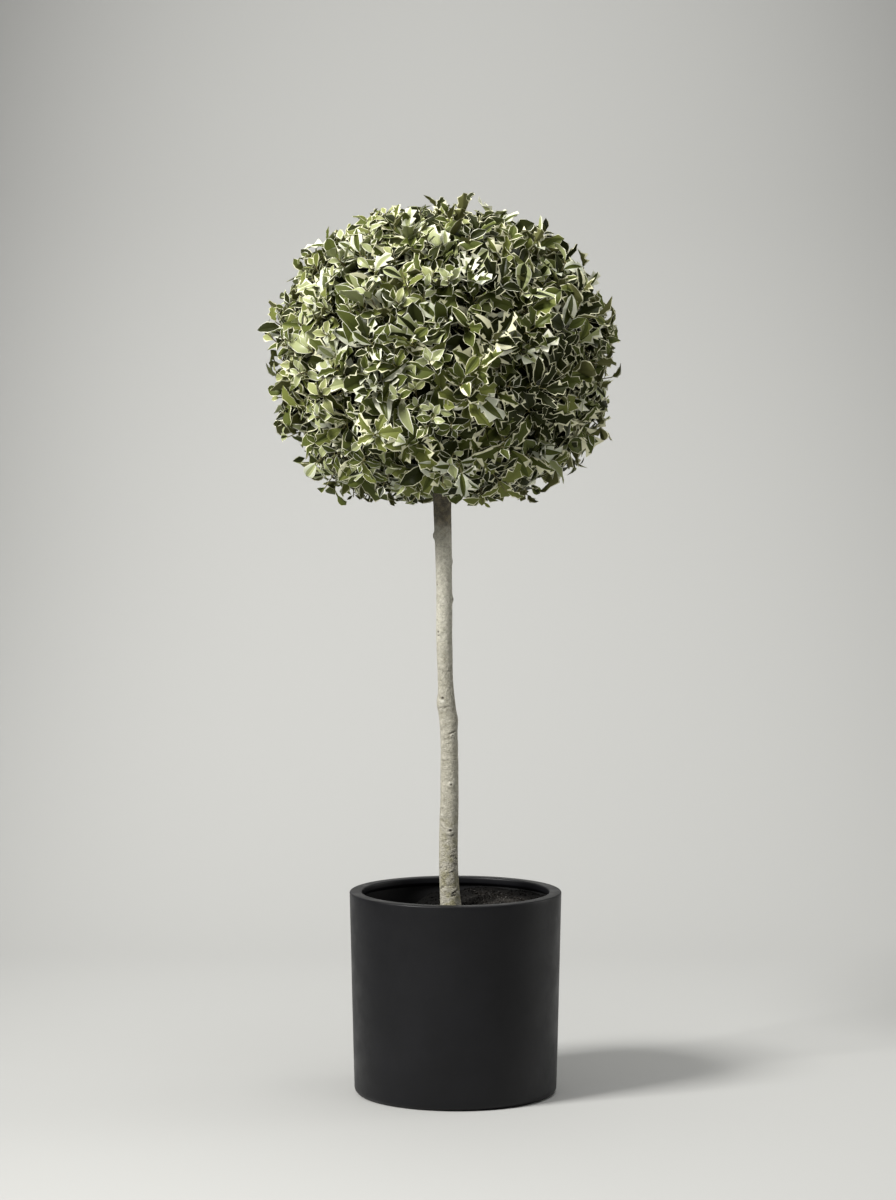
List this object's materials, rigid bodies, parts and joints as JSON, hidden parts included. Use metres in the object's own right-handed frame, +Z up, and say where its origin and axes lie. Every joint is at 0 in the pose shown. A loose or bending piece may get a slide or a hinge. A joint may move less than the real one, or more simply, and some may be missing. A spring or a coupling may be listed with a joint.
{
  "type": "ball-headed holly standard in a planter",
  "caption": "Clipped ball of cream-edged holly on one slim bare stem, growing in a matte round planter with an inturned lip.",
  "frame": {"origin": "centre of the planter's flat underside, which stands on the ground", "axes": "+Z up along the plant, -Y the front, +X to the right seen from the front"},
  "size_m": [0.5905, 0.5853, 1.477],
  "materials": {
    "pot": "matte",
    "soil": "matte",
    "bark": "matte",
    "foliage": "satin"
  },
  "bodies": {
    "root": {"pot": "pot", "soil": "soil", "trunk": "bark", "crown": "foliage"}
  },
  "joints": []
}
